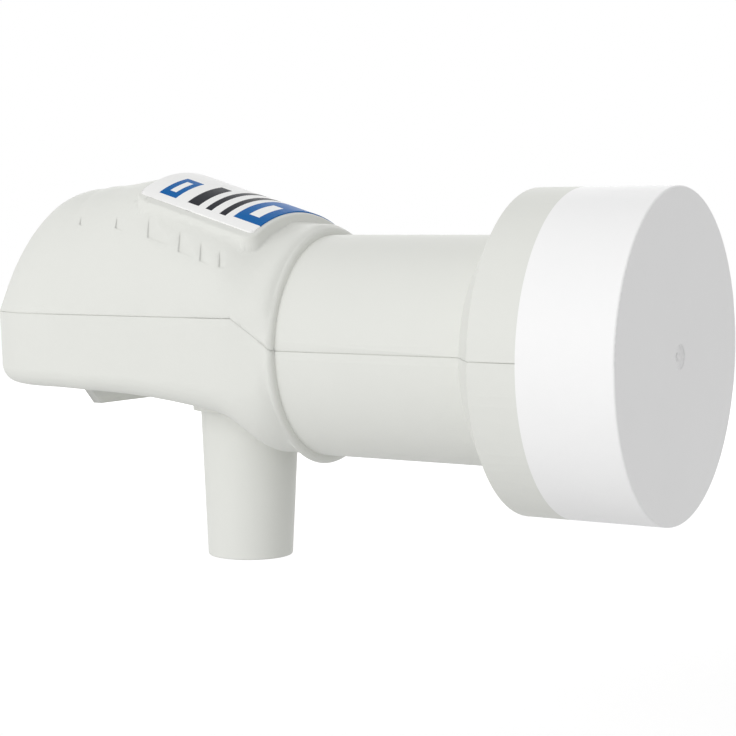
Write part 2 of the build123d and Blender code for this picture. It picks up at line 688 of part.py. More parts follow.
def board_parts():
    """Chips on the board, by node name."""
    radio_x, convert_x, supply_x = SHORT_X, (SLEEVE_X + cover_rib_places()[1]) / 2, REAR_AXIS_X
    aside = TRAY_HALF / 2
    return {
        "converter_chip": on_board(convert_x, aside, CHIP_SIZE),
        "reference_crystal": on_board(convert_x, -aside, CRYSTAL_SIZE),
        "voltage_regulator": on_board(supply_x, 0, REGULATOR_SIZE),
        "amplifier_transistors": [
            on_board(ISOLATION_X, 0, TRANSISTOR_SIZE),
            on_board(radio_x, 0, TRANSISTOR_SIZE),
            on_board(REAR_LEG_X, -REAR_PROBE_SHIFT / 2, TRANSISTOR_SIZE),
        ],
        "supply_capacitors": [
            on_board(supply_x + shift, side * aside, CAPACITOR_SIZE)
            for shift in (-REGULATOR_SIZE[0] / 2, REGULATOR_SIZE[0] / 2)
            for side in (-1, 1)
        ],
    }


def absorber_pad():
    """Microwave absorber stuck under the cover, over the converter."""
    middle_x = sum(cover_rib_places()) / 2
    return Pos(middle_x, 0, COVER_Z - ABSORBER_SIZE[2] / 2) * Box(*ABSORBER_SIZE)


def f_connector():
    """Threaded aerial socket, pressed into the casting's boss."""
    tip = -SOCKET_TIP
    thread_top = tip + THREAD_LENGTH
    relief_top = thread_top + SOCKET_RELIEF_LENGTH
    barrel = turned_about_socket([
        (SOCKET_BORE, tip),
        (THREAD_RADIUS - THREAD_CHAMFER, tip),
        (THREAD_RADIUS, tip + THREAD_CHAMFER),
        (THREAD_RADIUS, thread_top),
        (SOCKET_RELIEF_RADIUS, thread_top),
        (SOCKET_RELIEF_RADIUS, relief_top),
        (SOCKET_SPIGOT_RADIUS, relief_top),
        (SOCKET_SPIGOT_RADIUS, NUT_TOP_Z + SOCKET_SPIGOT_LENGTH),
        (SOCKET_BORE, NUT_TOP_Z + SOCKET_SPIGOT_LENGTH),
    ])
    nut = slab(RegularPolygon(SOCKET_NUT_FLATS / 2, 6, major_radius=False), relief_top, NUT_TOP_Z)
    return barrel + Pos(SLEEVE_X, 0, 0) * nut - post(SLEEVE_X, 0, SOCKET_BORE, relief_top, NUT_TOP_Z)


def connector_insulator():
    """Insulating core of the socket, up to the board."""
    bottom = -SOCKET_TIP + THREAD_CHAMFER
    core = post(SLEEVE_X, 0, SOCKET_BORE - FIT, bottom, FLOOR_Z)
    return core - post(SLEEVE_X, 0, CONTACT_RADIUS + FIT, bottom, FLOOR_Z)


def centre_contact():
    """Centre contact, hollow at its tip for the cable's core and soldered to the board."""
    bottom = -SOCKET_TIP + THREAD_CHAMFER + CONTACT_RECESS
    pin = post(SLEEVE_X, 0, CONTACT_RADIUS, bottom, BOARD_TOP_Z + PROBE_STUB)
    return pin - post(SLEEVE_X, 0, CONTACT_HOLE_RADIUS, bottom, bottom + CONTACT_HOLE_DEPTH)


def connector_seal():
    """Seal ring in the relief above the socket's thread."""
    section = SOCKET_RELIEF_LENGTH / 2 - FIT
    middle_z = -SOCKET_TIP + THREAD_LENGTH + SOCKET_RELIEF_LENGTH / 2
    return Pos(SLEEVE_X, 0, middle_z) * Torus(SOCKET_RELIEF_RADIUS + FIT + section, section)


def weather_sleeve():
    """Tapered sleeve that slides down over the plug, held by its flange."""
    tip_z = -SLEEVE_DROP
    flange_z = LEDGE_Z + STOP_CLEARANCE
    top_z = flange_z + SLEEVE_FLANGE_HEIGHT
    tip = SLEEVE_TIP_DIAMETER / 2
    neck_radius = tip + SLEEVE_TAPER * (flange_z - tip_z)
    sleeve = turned_about_socket([
        (tip - SLEEVE_WALL, tip_z),
        (tip, tip_z),
        (neck_radius, flange_z),
        (FLANGE_RADIUS, flange_z),
        (FLANGE_RADIUS, top_z),
        (neck_radius - SLEEVE_WALL - GUIDE_CLEARANCE, top_z),
    ])
    return fillet(sleeve.edges().filter_by(GeomType.CIRCLE).group_by(Axis.Z)[0], SLEEVE_TIP_EDGE)


NODES = {
    "upper_shell": upper_shell(),
    "lower_shell": lower_shell(),
    "label": label(),
    "horn_cap": horn_cap(),
    "cap_seal": cap_seal(),
    "cast_housing": cast_housing(),
    "chamber_cover": chamber_cover(),
    "cover_gasket": cover_gasket(),
    "cover_screws": cover_screws(),
    "circuit_board": circuit_board(),
    "absorber_pad": absorber_pad(),
    "front_probe": front_probe(),
    "front_probe_bead": front_probe_bead(),
    "rear_probe": rear_probe(),
    "rear_probe_bead": rear_probe_bead(),
    "isolation_pin": isolation_pin(),
    "f_connector": f_connector(),
    "connector_insulator": connector_insulator(),
    "centre_contact": centre_contact(),
    "connector_seal": connector_seal(),
    "weather_sleeve": weather_sleeve(),
    **board_parts(),
}

os.makedirs("parts", exist_ok=True)
for name, shape in NODES.items():
    pieces = shape if isinstance(shape, list) else [shape]
    solids = [solid for piece in pieces for solid in piece.solids()]
    whole = solids[0] if len(solids) == 1 else Compound(children=solids)
    export_step(whole, f"parts/{name}.step")
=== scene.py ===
"""Dresses a satellite LNB: moulded shells, feed cap, weather sleeve, printed label and aerial socket."""

import json
import math

import bpy
from bpy.props import FloatProperty, FloatVectorProperty, PointerProperty
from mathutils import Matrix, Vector

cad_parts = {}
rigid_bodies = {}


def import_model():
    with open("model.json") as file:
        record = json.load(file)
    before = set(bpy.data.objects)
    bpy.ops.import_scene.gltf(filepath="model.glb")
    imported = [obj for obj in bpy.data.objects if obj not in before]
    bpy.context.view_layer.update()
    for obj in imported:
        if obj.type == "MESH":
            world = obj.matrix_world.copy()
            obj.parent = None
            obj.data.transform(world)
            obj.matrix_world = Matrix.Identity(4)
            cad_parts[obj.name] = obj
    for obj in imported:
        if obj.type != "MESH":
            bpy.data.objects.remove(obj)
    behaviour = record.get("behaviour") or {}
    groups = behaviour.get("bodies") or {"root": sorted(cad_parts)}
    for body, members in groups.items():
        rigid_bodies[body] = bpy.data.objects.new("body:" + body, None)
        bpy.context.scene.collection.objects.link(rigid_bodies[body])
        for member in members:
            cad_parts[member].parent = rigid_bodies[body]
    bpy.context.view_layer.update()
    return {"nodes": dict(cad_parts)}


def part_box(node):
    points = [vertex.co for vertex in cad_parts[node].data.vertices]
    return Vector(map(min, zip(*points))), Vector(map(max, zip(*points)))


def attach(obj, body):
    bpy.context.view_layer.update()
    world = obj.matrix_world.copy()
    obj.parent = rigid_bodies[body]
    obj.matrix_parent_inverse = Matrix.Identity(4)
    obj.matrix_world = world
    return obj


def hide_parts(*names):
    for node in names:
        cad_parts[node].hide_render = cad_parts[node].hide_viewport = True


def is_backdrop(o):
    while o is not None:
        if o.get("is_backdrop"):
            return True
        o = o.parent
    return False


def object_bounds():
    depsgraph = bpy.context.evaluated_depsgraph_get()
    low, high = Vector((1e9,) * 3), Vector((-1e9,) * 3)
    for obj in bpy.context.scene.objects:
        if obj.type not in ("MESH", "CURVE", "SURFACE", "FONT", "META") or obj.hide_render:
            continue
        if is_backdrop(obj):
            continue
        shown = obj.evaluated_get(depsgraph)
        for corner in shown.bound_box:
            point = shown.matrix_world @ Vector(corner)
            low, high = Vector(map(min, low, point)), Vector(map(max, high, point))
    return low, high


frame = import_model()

MM = 0.001

# Corners closer than this are one, in a copy of a CAD node and in a modelled piece.
COPY_MERGE = 0.001 * MM
MODEL_MERGE = 0.002 * MM

# Edges sharper than this many degrees stay sharp.
MOULDED_CREASE = 25
TURNED_CREASE = 35
SEAL_CREASE = 40

TURNED_SIDES = 72
RIM_SEGMENTS = 5
HEXAGON_HALF = math.radians(30)
THREAD_FLANK = math.radians(30)
GROOVE_OVERSHOOT = 1.15

# Scene colours of metals, rubbers and the parts on the board.
NICKEL = (0.72, 0.71, 0.68)
BRASS = (0.83, 0.63, 0.26)
PROBE_BRASS = (0.78, 0.6, 0.28)
CAST_ALLOY = (0.62, 0.62, 0.61)
COVER_ALLOY = (0.68, 0.68, 0.68)
SCREW_STEEL = (0.55, 0.55, 0.56)
CRYSTAL_CAN = (0.66, 0.66, 0.66)
WHITE_CORE = (0.88, 0.87, 0.84)
RUBBER = (0.03, 0.03, 0.03)
GASKET_GREY = (0.2, 0.2, 0.21)
ABSORBER_BLACK = (0.06, 0.06, 0.065)
CHIP_BLACK = (0.035, 0.035, 0.038)
TRANSISTOR_WHITE = (0.8, 0.79, 0.76)
CAPACITOR_BROWN = (0.55, 0.42, 0.28)
BOARD_GREEN = (0.05, 0.22, 0.12)
BOARD_SHADE = (0.035, 0.17, 0.09)
TINNED_COPPER = (0.72, 0.56, 0.4)

# Grain and height of the skin on a casting, in metres.
CAST_SKIN = (0.0012, 0.00004)

# Fields printed on the label, in mm: near and far edge, then rear and front edge.
MARK = (1.8, 10.8, 3.0, 6.7)
MARK_WINDOW = (3.6, 9.0, 4.2, 5.5)
HEAVY_BAR = (1.9, 12.8, 9.2, 11.6)
LONG_BAR = (1.9, 25.5, 13.1, 14.4)
SHORT_BAR = (1.9, 22.5, 16.1, 17.4)

# The band at the label's front end, in mm: its near edge, its depth back from the front end, how far it
# runs past the film's edges, and its window, whose last two edges count back from the front end.
BAND_NEAR = 2.5
BAND_DEPTH = 5.7
BAND_OVERRUN = 1
BAND_WINDOW = (5.0, 13.0, 3.9, 1.8)

# The main track's distance from the board's rear and front end and half its width, in mm.
MAIN_TRACK_REAR = 6
MAIN_TRACK_FRONT = 9
MAIN_TRACK_HALF = 0.5

# Side tracks of the board in mm: rear and front end, then near and far edge from its middle line.
SIDE_TRACKS = ((12, 30, -5.3, -4.7), (29.4, 30, -5, 0), (34, 58, 4.7, 5.3), (34, 34.6, 0, 5))

# Plated holes of the board in mm: from one to the next, from the long edges, and their radius.
HOLE_PITCH = 3.0
HOLE_MARGIN = 1.2
HOLE_RADIUS = 0.4

# The floor's side in metres, and its glow where it is seen: near the object, and from so many mm on.
FLOOR_SIZE = 6.0
FLOOR_WHITE = (0.9, 0.9, 0.9)
NEAR_GLOW = (0.25, 0.25, 0.25)
FAR_GLOW = (0.45, 0.45, 0.45)
FLOOR_FADE = 900

# The camera's sensor in mm and its near limit in metres.
SENSOR_WIDTH = 36.0
NEAR_CLIP = 0.01

bl_info = {
    "name": "Satellite LNB",
    "version": (1, 0, 0),
    "blender": (4, 5, 0),
    "location": "View3D > Sidebar > LNB",
    "description": "Finishes the pieces of a satellite LNB and sets up its studio",
    "category": "Object",
}


def colour(name, description, rgb):
    """A colour property written as display red, green and blue from 0 to 255."""
    return FloatVectorProperty(
        name=name,
        description=description,
        subtype="COLOR",
        size=3,
        min=0,
        max=1,
        default=[linear(channel) for channel in rgb],
    )


def linear(channel):
    """Scene value of a display channel from 0 to 255."""
    share = channel / 255
    return share / 12.92 if share <= 0.04045 else ((share + 0.055) / 1.055) ** 2.4


def length(name, description, metres):
    """A length property."""
    return FloatProperty(name=name, description=description, unit="LENGTH", default=metres)


def point(name, description, place):
    """A place property in metres."""
    return FloatVectorProperty(
        name=name, description=description, subtype="TRANSLATION", size=3, default=place
    )


def power(name, description, watts):
    """A lamp's power property."""
    return FloatProperty(name=name, description=description, unit="POWER", default=watts)


def number(name, description, value):
    """A plain number property."""
    return FloatProperty(name=name, description=description, default=value)


class PlasticSettings(bpy.types.PropertyGroup):
    """Colours and grain of the moulded plastics."""

    shell: colour("Shell", "Grey white of the two shells and the sleeve", (229, 230, 225))
    cap: colour("Feed cap", "White of the feed cap", (249, 249, 249))
    grain: length("Grain", "Size of the moulded grain", 0.00035)
    grain_height: length("Grain height", "Height of the moulded grain", 0.000012)


class PadSettings(bpy.types.PropertyGroup):
    """Sizes of the raised pad that carries the label."""

    side_margin: length("Side margin", "Width of the pad beside the label", 0.0014)
    crown: length("Crown", "Rise of the pad's middle over its long edges", 0.00475)
    fall: number("Fall", "Drop of the pad's top along its length", 0.303)
    edge: length("Edge", "Rounding of the pad's top edge", 0.0005)
    film: length("Film", "Thickness of the label film", 0.0002)
    rim_start: length("Rim start", "Where the rim over the notches starts on the label", 0.002)
    rim_length: length("Rim length", "Length of the rim over the notches", 0.0102)
    rim_depth: length("Rim depth", "How far the rim reaches into the pad", 0.0012)
    rim_height: length("Rim height", "Height of the rim", 0.0032)


class LabelSettings(bpy.types.PropertyGroup):
    """Colours of the label's print."""

    film: colour("Film", "White of the label film", (252, 252, 251))
    blue: colour("Blue", "Blue of the mark and the band", (4, 100, 172))
    ink: colour("Ink", "Dark ink of the printed bars", (44, 46, 52))


class SocketSettings(bpy.types.PropertyGroup):
    """Sizes of the threaded aerial socket."""

    bore: length("Bore", "Radius of the hole for the insulating core", 0.0033)
    thread: length("Thread", "Radius over the thread's crests", 0.00476)
    thread_length: length("Thread length", "Length of the thread from the tip", 0.0118)
    chamfer: length("Chamfer", "Chamfer of the tip", 0.0005)
    pitch: length("Pitch", "Distance between two turns of the thread", 0.000794)
    thread_depth: length("Thread depth", "Depth of the thread's groove", 0.00045)
    relief: length("Relief", "Radius of the groove that holds the seal ring", 0.0041)
    relief_length: length("Relief length", "Length of that groove", 0.0017)
    nut_flats: length("Nut", "Width of the hexagon across its flats", 0.011)
    nut_height: length("Nut height", "Height of the hexagon", 0.0025)
    spigot: length("Spigot", "Radius of the part pressed into the casting", 0.0046)


class StudioSettings(bpy.types.PropertyGroup):
    """Camera, floor and light of the studio."""

    lens: number("Lens", "Focal length in mm on a 36 mm sensor", 90.06)
    eye: point("Eye", "Place of the camera", (0.15412, -0.28601, 0.0198))
    target: point("Target", "Point the camera looks at", (-0.0107, 0, -0.00391))
    floor_drop: length("Floor drop", "Height of the object above the floor", 0.06)
    floor_bounce: number("Bounce", "Share of light the floor throws back", 0.77)
    ambient: number("Ambient", "Strength of the room's even light", 0.67)
    softbox: length("Softbox", "Side of each square lamp", 0.7)
    key: power("Key", "Power of the key light", 4.3)
    key_place: point("Key place", "Place of the key light from the object's middle", (-0.2, -1.0, 0.22))
    back: power("Back", "Power of the back light", 2.0)
    back_place: point("Back place", "Place of the back light from the object's middle", (-0.5, 0.9, 0.35))


class Value:
    """One socket of a node tree; Python arithmetic on it adds Math nodes."""

    def __init__(self, tree, socket):
        self.tree = tree
        self.socket = socket

    def math(self, operation, *operands):
        """Add a Math node on these operands."""
        return add_node(self.tree, "ShaderNodeMath", dict(enumerate(operands)), {"operation": operation})

    def __add__(self, other):
        return self.math("ADD", self, other)

    def __radd__(self, other):
        return self.math("ADD", other, self)

    def __sub__(self, other):
        return self.math("SUBTRACT", self, other)

    def __rsub__(self, other):
        return self.math("SUBTRACT", other, self)

    def __mul__(self, other):
        return self.math("MULTIPLY", self, other)

    def __rmul__(self, other):
        return self.math("MULTIPLY", other, self)

    def __truediv__(self, other):
        return self.math("DIVIDE", self, other)

    def __lt__(self, other):
        return self.math("LESS_THAN", self, other)

    def __abs__(self):
        return self.math("ABSOLUTE", self)


def add_node(tree, kind, sockets=None, settings=None, output=0):
    """Add a node, set its settings, feed its sockets by name or number, and give one output."""
    node = tree.nodes.new(kind)
    for name, value in (settings or {}).items():
        setattr(node, name, value)
    for entry, value in (sockets or {}).items():
        plug(tree, node.inputs[entry], value)
    return Value(tree, node.outputs[output])


def plug(tree, entry, value):
    """Feed a socket from another socket or set it to a plain value."""
    if isinstance(value, Value):
        tree.links.new(value.socket, entry)
    elif entry.type == "RGBA" and len(value) == 3:
        entry.default_value = (*value, 1)
    else:
        entry.default_value = value


class Finish:
    """A procedural material on one Principled shader."""

    def __init__(self, name, **sockets):
        self.material = bpy.data.materials.new(name)
        self.material.use_nodes = True
        self.tree = self.material.node_tree
        self.shader = self.tree.nodes["Principled BSDF"]
        self.set(**sockets)

    def set(self, **sockets):
        """Set or feed the shader's sockets, named in lower case with underscores."""
        for name, value in sockets.items():
            plug(self.tree, self.shader.inputs[socket_name(name)], value)
        return self.material

    def node(self, kind, sockets=None, settings=None, output=0):
        """Add a node to the material."""
        return add_node(self.tree, kind, sockets, settings, output)

    def place(self):
        """Object coordinates."""
        return self.node("ShaderNodeTexCoord", output="Object")

    def millimetres(self):
        """Object coordinates along X and Y in millimetres."""
        place = self.place()
        return [self.node("ShaderNodeSeparateXYZ", {0: place}, output=axis) / MM for axis in "XY"]

    def measures(self, node):
        """Millimetres from a CAD node's rear near corner along X and Y, and its length and width."""
        low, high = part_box(node)
        x, y = self.millimetres()
        long, wide = ((high[axis] - low[axis]) / MM for axis in (0, 1))
        return x - low[0] / MM, y - low[1] / MM, long, wide

    def noise(self, size, detail=2.0, roughness=0.5):
        """Noise with features of that size in metres."""
        sockets = {"Vector": self.place(), "Scale": 1 / size, "Detail": detail, "Roughness": roughness}
        return self.node("ShaderNodeTexNoise", sockets)

    def bump(self, height, distance):
        """Surface normal from a height from 0 to 1, that many metres high."""
        return self.node("ShaderNodeBump", {"Height": height, "Distance": distance})

    def blend(self, share, first, second):
        """Colour between two colours."""
        sockets = {0: share, 6: first, 7: second}
        return self.node("ShaderNodeMix", sockets, {"data_type": "RGBA"}, output=2)


def socket_name(keyword):
    """Principled socket from a keyword: base_color is Base Color."""
    return "Specular IOR Level" if keyword == "ior_level" else keyword.replace("_", " ").title()


def darker(base, share):
    """A colour at a share of its strength."""
    return [channel * share for channel in base]


def moulded_plastic(name, base, roughness, settings):
    """Moulded plastic with a fine eroded grain and slight cloudiness."""
    finish = Finish(name, ior_level=0.12)
    cloud = finish.noise(0.018, detail=3.0)
    grain = finish.noise(settings.grain, detail=2.0, roughness=0.6)
    return finish.set(
        base_color=finish.blend(cloud, darker(base, 0.97), base),
        roughness=roughness + (grain - 0.5) * 0.12,
        normal=finish.bump(grain, settings.grain_height),
    )


def metal(name, base, roughness, grain=0.0004, height=0.000015):
    """Bare metal with a fine uneven surface."""
    finish = Finish(name, metallic=1.0)
    pits = finish.noise(grain, detail=3.0, roughness=0.6)
    return finish.set(
        base_color=finish.blend(pits, darker(base, 0.86), base),
        roughness=roughness + (pits - 0.5) * 0.2,
        normal=finish.bump(pits, height),
    )


def matt(name, base, roughness, grain=0.0005, height=0.00002):
    """Matt rubber, plastic or ceramic with a fine grain."""
    finish = Finish(name)
    pores = finish.noise(grain, detail=3.0, roughness=0.6)
    return finish.set(
        base_color=finish.blend(pores, darker(base, 0.85), base),
        roughness=roughness + (pores - 0.5) * 0.15,
        normal=finish.bump(pores, height),
    )


def field(across, down, left, right, top, bottom):
    """One inside a rectangle of two coordinates and nought outside."""
    beside = abs(across - (left + right) / 2) < (right - left) / 2
    return beside * (abs(down - (top + bottom) / 2) < (bottom - top) / 2)


def label_print(inks):
    """Label film with a blue mark, dark bars and a blue band."""
    finish = Finish("label_film", ior_level=0.04)
    down, across, long, wide = finish.measures("label")

    def bar(*sides):
        return field(across, down, *sides)

    near, far, back, front = BAND_WINDOW
    band = bar(BAND_NEAR, wide + BAND_OVERRUN, long - BAND_DEPTH, long + BAND_OVERRUN)
    blue = bar(*MARK) + band
    ink = bar(*HEAVY_BAR) + bar(*LONG_BAR) + bar(*SHORT_BAR)
    white = bar(*MARK_WINDOW) + bar(near, far, long - back, long - front)
    film = finish.blend(blue, inks.film, inks.blue)
    film = finish.blend(ink, film, inks.ink)
    film = finish.blend(white, film, inks.film)
    fibre = finish.noise(0.0012, detail=3.0)
    return finish.set(
        base_color=film,
        roughness=0.5 + (fibre - 0.5) * 0.1 - (blue + ink) * 0.06,
        normal=finish.bump(fibre, 0.000004),
    )


def printed_board():
    """Green laminate with copper tracks and a row of plated holes along both long edges."""
    finish = Finish("board_laminate")
    along, across, long, wide = finish.measures("circuit_board")
    middle = wide / 2
    tracks = field(
        along,
        across,
        MAIN_TRACK_REAR,
        long - MAIN_TRACK_FRONT,
        middle - MAIN_TRACK_HALF,
        middle + MAIN_TRACK_HALF,
    )
    for rear, front, near, far in SIDE_TRACKS:
        tracks = tracks + field(along, across, rear, front, middle + near, middle + far)
    pitches = along / HOLE_PITCH
    between = (pitches.math("FRACT", pitches) - 0.5) * HOLE_PITCH
    from_row = abs(across - middle) - (middle - HOLE_MARGIN)
    holes = (between * between + from_row * from_row) < HOLE_RADIUS**2
    copper = tracks + holes
    copper = copper.math("MINIMUM", copper, 1)
    weave = finish.noise(0.0006, detail=3.0, roughness=0.6)
    green = finish.blend(weave, BOARD_SHADE, BOARD_GREEN)
    return finish.set(
        base_color=finish.blend(copper, green, TINNED_COPPER),
        metallic=copper,
        roughness=0.4 - copper * 0.12 + (weave - 0.5) * 0.1,
        normal=finish.bump(copper + weave * 0.3, 0.00003),
    )


def dress(name, material):
    """Give a CAD node one material."""
    slots = frame["nodes"][name].data.materials
    slots.clear()
    slots.append(material)


def refined(name, body, material, crease=MOULDED_CREASE):
    """A merged, smooth copy of a CAD node with creased edges, which stands for the node."""
    piece = merged_copy(name)
    smooth(piece, crease)
    stand_in(piece, name, body, material)


def pick_alone(piece):
    """Select one object and nothing else, and make it the active one."""
    bpy.ops.object.select_all(action="DESELECT")
    piece.select_set(True)
    bpy.context.view_layer.objects.active = piece


def merged_copy(name):
    """A copy of a CAD node with its loose triangles merged."""
    pick_alone(frame["nodes"][name])
    bpy.ops.object.duplicate()
    piece = bpy.context.active_object
    piece.name = f"{name}_finished"
    bpy.ops.object.parent_clear(type="CLEAR_KEEP_TRANSFORM")
    bpy.ops.object.mode_set(mode="EDIT")
    bpy.ops.mesh.select_all(action="SELECT")
    bpy.ops.mesh.remove_doubles(threshold=COPY_MERGE)
    bpy.ops.mesh.dissolve_degenerate(threshold=COPY_MERGE)
    bpy.ops.object.mode_set(mode="OBJECT")
    return piece


def smooth(piece, crease):
    """Shade a piece smooth up to a crease angle in degrees, led by its large faces."""
    pick_alone(piece)
    bpy.ops.object.shade_smooth_by_angle(angle=math.radians(crease))
    evener = piece.modifiers.new("even_normals", "WEIGHTED_NORMAL")
    evener.keep_sharp = True
    bpy.ops.object.modifier_apply(modifier=evener.name)


def stand_in(piece, name, body, material):
    """Let a finished piece ride on a body in the place of a CAD node."""
    piece.data.materials.clear()
    piece.data.materials.append(material)
    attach(piece, body)
    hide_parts(name)


def combine(piece, tool, operation):
    """Join a tool's shape to a piece or cut it out; the tool is used up."""
    pick_alone(piece)
    change = piece.modifiers.new("change", "BOOLEAN")
    change.object = tool
    change.operation = operation
    change.solver = "EXACT"
    bpy.ops.object.modifier_apply(modifier=change.name)
    bpy.data.objects.remove(tool)


class LNB_OT_shells(bpy.types.Operator):
    """Finish the two moulded shells"""

    bl_idname = "lnb.shells"
    bl_label = "Shells"

    def execute(self, context):
        plastic = context.scene.lnb_plastic
        finish = moulded_plastic("shell_plastic", plastic.shell, 0.5, plastic)
        roof = merged_copy("upper_shell")
        for side in (-1, 1):
            combine(roof, pad_rim(context.scene.lnb_pad, side), "UNION")
        smooth(roof, MOULDED_CREASE)
        stand_in(roof, "upper_shell", "housing", finish)
        refined("lower_shell", "housing", finish)
        return {"FINISHED"}


def pad_rim(pad, side):
    """The pad's rounded rim on one long side, whole over the tops of the notches."""
    low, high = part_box("label")
    outer = high[1] + pad.side_margin
    start = low[0] + pad.rim_start
    edge = high[2] - pad.film - pad.crown - pad.fall * pad.rim_start
    radius = (outer**2 + pad.crown**2) / (2 * pad.crown)
    slope = math.asin(outer / radius)
    middle_x = start + pad.rim_length / 2
    middle_y = outer - pad.rim_depth / 2
    middle_z = edge - pad.rim_height / 2
    bpy.ops.object.select_all(action="DESELECT")
    bpy.ops.mesh.primitive_cube_add(
        size=1,
        location=(middle_x, side * middle_y, middle_z),
        scale=(pad.rim_length, pad.rim_depth, pad.rim_height),
    )
    rim = bpy.context.active_object
    bpy.ops.object.transform_apply()
    select_corners(rim, lambda place: abs(place.y) < middle_y and place.z > middle_z)
    bpy.ops.transform.translate(value=(0, 0, pad.rim_depth * math.tan(slope)))
    select_corners(rim, lambda place: place.x > middle_x)
    bpy.ops.transform.translate(value=(0, 0, -pad.fall * pad.rim_length))

    def on_outer_edge(place):
        return abs(place.y) > middle_y and place.z > middle_z - pad.fall * (place.x - start)

    select_corners(rim, on_outer_edge)
    rounding = pad.edge * math.tan((math.pi / 2 - slope) / 2)
    bpy.ops.mesh.bevel(offset=rounding, segments=RIM_SEGMENTS)
    bpy.ops.object.mode_set(mode="OBJECT")
    return rim


def select_corners(piece, chosen):
    """Select the corners of a piece whose place passes a test, and go on in edit mode."""
    bpy.ops.object.mode_set(mode="EDIT")
    bpy.ops.mesh.select_mode(type="VERT")
    bpy.ops.mesh.select_all(action="DESELECT")
    bpy.ops.object.mode_set(mode="OBJECT")
    for corner in piece.data.vertices:
        corner.select = chosen(corner.co)
    bpy.ops.object.mode_set(mode="EDIT")


class LNB_OT_cap(bpy.types.Operator):
    """Finish the white feed cap"""

    bl_idname = "lnb.cap"
    bl_label = "Feed cap"

    def execute(self, context):
        plastic = context.scene.lnb_plastic
        finish = moulded_plastic("cap_plastic", plastic.cap, 0.45, plastic)
        refined("horn_cap", "housing", finish)
        return {"FINISHED"}


class LNB_OT_sleeve(bpy.types.Operator):
    """Finish the sliding weather sleeve"""

    bl_idname = "lnb.sleeve"
    bl_label = "Weather sleeve"

    def execute(self, context):
        plastic = context.scene.lnb_plastic
        finish = moulded_plastic("sleeve_plastic", plastic.shell, 0.45, plastic)
        refined("weather_sleeve", "sleeve", finish)
        return {"FINISHED"}


class LNB_OT_label(bpy.types.Operator):
    """Print the label with plain fields and bars"""

    bl_idname = "lnb.label"
    bl_label = "Label"

    def execute(self, context):
        refined("label", "housing", label_print(context.scene.lnb_label))
        return {"FINISHED"}


class LNB_OT_socket(bpy.types.Operator):
    """Model the threaded aerial socket inside the sleeve"""

    bl_idname = "lnb.socket"
    bl_label = "Aerial socket"

    def execute(self, context):
        piece = threaded_socket(context.scene.lnb_socket)
        stand_in(piece, "f_connector", "housing", metal("socket_metal", NICKEL, 0.25))
        core = matt("core_plastic", WHITE_CORE, 0.4)
        refined("connector_insulator", "housing", core)
        contact = metal("contact_brass", BRASS, 0.2)
        refined("centre_contact", "housing", contact)
        seal = matt("seal_rubber", RUBBER, 0.6)
        refined("connector_seal", "housing", seal, SEAL_CREASE)
        return {"FINISHED"}


def threaded_socket(socket):
    """A turned barrel with a hexagon, then a thread cut into it from the tip up."""
    low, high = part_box("f_connector")
    tip, top = low[2], high[2]
    axis = ((low[0] + high[0]) / 2, (low[1] + high[1]) / 2)
    thread_top = tip + socket.thread_length
    relief_top = thread_top + socket.relief_length
    nut_top = relief_top + socket.nut_height
    flat = socket.nut_flats / 2
    corner = flat / math.cos(HEXAGON_HALF)
    drop = (corner - flat) * math.tan(HEXAGON_HALF)
    barrel = turned("aerial_socket", axis, [
        (socket.bore, tip),
        (socket.thread - socket.chamfer, tip),
        (socket.thread, tip + socket.chamfer),
        (socket.thread, thread_top),
        (socket.relief, thread_top),
        (socket.relief, relief_top),
        (flat, relief_top),
        (corner, relief_top + drop),
        (corner, nut_top - drop),
        (flat, nut_top),
        (socket.spigot, nut_top),
        (socket.spigot, top),
        (socket.bore, top),
    ])
    plane_off_flats(barrel, axis, flat)
    combine(barrel, thread_groove(socket, axis, tip, thread_top), "DIFFERENCE")
    smooth(barrel, TURNED_CREASE)
    return barrel


def turned(name, axis, profile):
    """A closed ring turned from a profile of radius and height, ring by ring."""
    (radius, height), *rest = profile
    bpy.ops.object.select_all(action="DESELECT")
    bpy.ops.mesh.primitive_circle_add(vertices=TURNED_SIDES, radius=radius, location=(*axis, height))
    piece = bpy.context.active_object
    piece.name = name
    bpy.ops.object.transform_apply()
    bpy.ops.object.mode_set(mode="EDIT")
    bpy.ops.mesh.select_all(action="SELECT")
    for new_radius, new_height in (*rest, profile[0]):
        bpy.ops.mesh.extrude_region_move(TRANSFORM_OT_translate={"value": (0, 0, new_height - height)})
        growth = new_radius / radius
        bpy.ops.transform.resize(value=(growth, growth, 1), center_override=(*axis, new_height))
        radius, height = new_radius, new_height
    close_up()
    return piece


def close_up():
    """Merge what lies together in the mesh being edited and turn its faces outwards."""
    bpy.ops.mesh.select_all(action="SELECT")
    bpy.ops.mesh.remove_doubles(threshold=MODEL_MERGE)
    bpy.ops.mesh.normals_make_consistent(inside=False)
    bpy.ops.object.mode_set(mode="OBJECT")


def plane_off_flats(piece, axis, reach):
    """Cut six flats onto a turned piece, at a distance from its axis that only the nut passes."""
    bpy.ops.object.mode_set(mode="EDIT")
    for side in range(6):
        turn = math.radians(60 * side + 30)
        outward = Vector((math.cos(turn), math.sin(turn), 0))
        bpy.ops.mesh.select_all(action="SELECT")
        bpy.ops.mesh.bisect(
            plane_co=Vector((*axis, 0)) + outward * reach,
            plane_no=outward,
            use_fill=True,
            clear_outer=True,
        )
    close_up()


